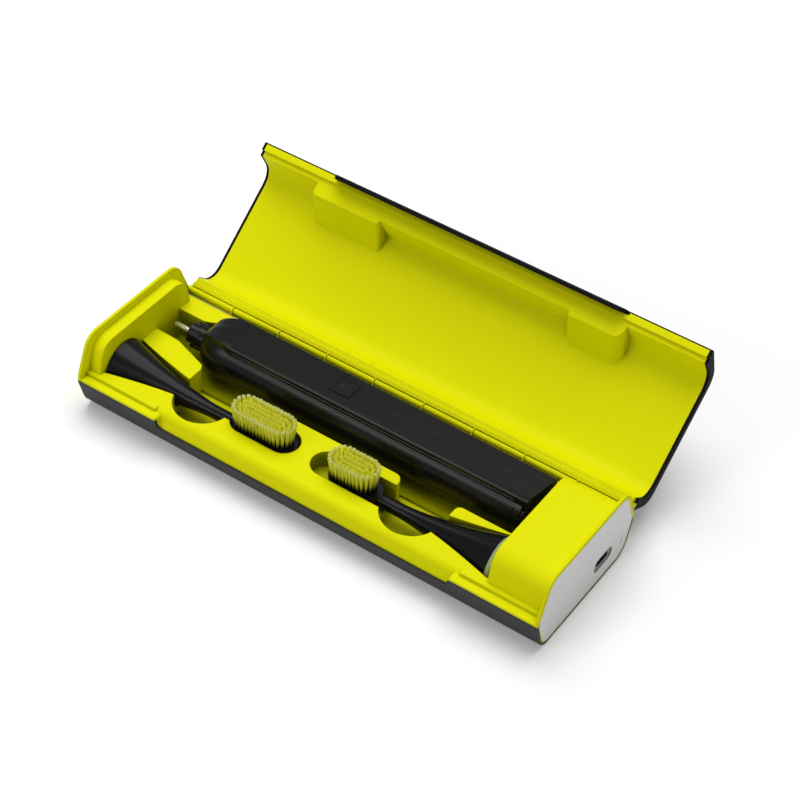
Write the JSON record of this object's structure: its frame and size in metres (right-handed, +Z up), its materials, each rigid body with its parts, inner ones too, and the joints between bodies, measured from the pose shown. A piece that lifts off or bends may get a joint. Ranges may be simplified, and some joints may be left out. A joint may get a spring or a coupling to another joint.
{
  "type": "electric toothbrush travel case",
  "caption": "Hinged travel case with a moulded tray for a power brush handle and spare brush heads, and a charging port in its end.",
  "frame": {"origin": "middle of the case's flat bottom", "axes": "+X along the case towards the end with the charging port, +Y towards the hinge, +Z up"},
  "size_m": [0.228, 0.1334, 0.0701],
  "materials": {
    "lower_shell": "fine matt grain",
    "tray": "satin moulded plastic",
    "end_plate": "satin silver",
    "metal": "bright metal",
    "light_pipe": "clear light pipe",
    "circuit": "circuit board",
    "copper": "wound copper wire",
    "lid_shell": "fine matt grain",
    "liner": "satin moulded plastic",
    "handle": "satin black",
    "face": "smooth black panel",
    "frame_plastic": "white moulded plastic",
    "battery": "shrink sleeve",
    "head": "smooth black",
    "bristles": "translucent lime and beige filaments"
  },
  "bodies": {
    "case": {"base_shell": "lower_shell", "inner_tray": "tray", "end_plate": "end_plate", "usb_socket": "metal", "status_light_pipe": "light_pipe", "charger_board": "circuit", "board_screws": "metal", "charging_coil": "copper", "base_magnets": "metal", "hinge_pin": "metal"},
    "lid": {"lid_shell": "lid_shell", "lid_liner": "liner", "lid_magnets": "metal"},
    "handle": {"handle_body": "handle", "face_panel": "face", "handle_end_cap": "handle", "neck_collar": "handle", "handle_frame": "frame_plastic", "drive_motor": "metal", "handle_battery": "battery", "handle_board": "circuit", "receiver_coil": "copper"},
    "power_button": {"power_button": "face"},
    "drive_shaft": {"drive_shaft": "metal"},
    "brush_head_1": {"brush_1_body": "head", "brush_1_sleeve": "metal", "brush_1_bristles": "bristles"},
    "brush_head_2": {"brush_2_body": "head", "brush_2_sleeve": "metal", "brush_2_bristles": "bristles"}
  },
  "joints": [
    {"name": "lid_hinge", "type": "hinge", "parent": "case", "child": "lid", "pos_m": [0, 0.0362, 0.0194], "axis": [-1, 0, 0], "range_deg": [-140.5, 0]},
    {"name": "handle_lift", "type": "slide", "parent": "case", "child": "handle", "axis": [0, 0, 1], "range_m": [0, 0.06]},
    {"name": "button_press", "type": "slide", "parent": "handle", "child": "power_button", "axis": [0, 0, -1], "range_m": [0, 0.0005], "stiffness_N_per_m": 2500, "springref_m": -0.0002},
    {"name": "shaft_swing", "type": "hinge", "parent": "handle", "child": "drive_shaft", "pos_m": [0, 0.0163, 0.01695], "axis": [1, 0, 0], "range_deg": [-6, 6], "stiffness_Nm_per_rad": 0.01},
    {"name": "left_head_lift", "type": "slide", "parent": "case", "child": "brush_head_1", "axis": [0, 0, 1], "range_m": [0, 0.045]},
    {"name": "right_head_lift", "type": "slide", "parent": "case", "child": "brush_head_2", "axis": [0, 0, 1], "range_m": [0, 0.045]}
  ]
}
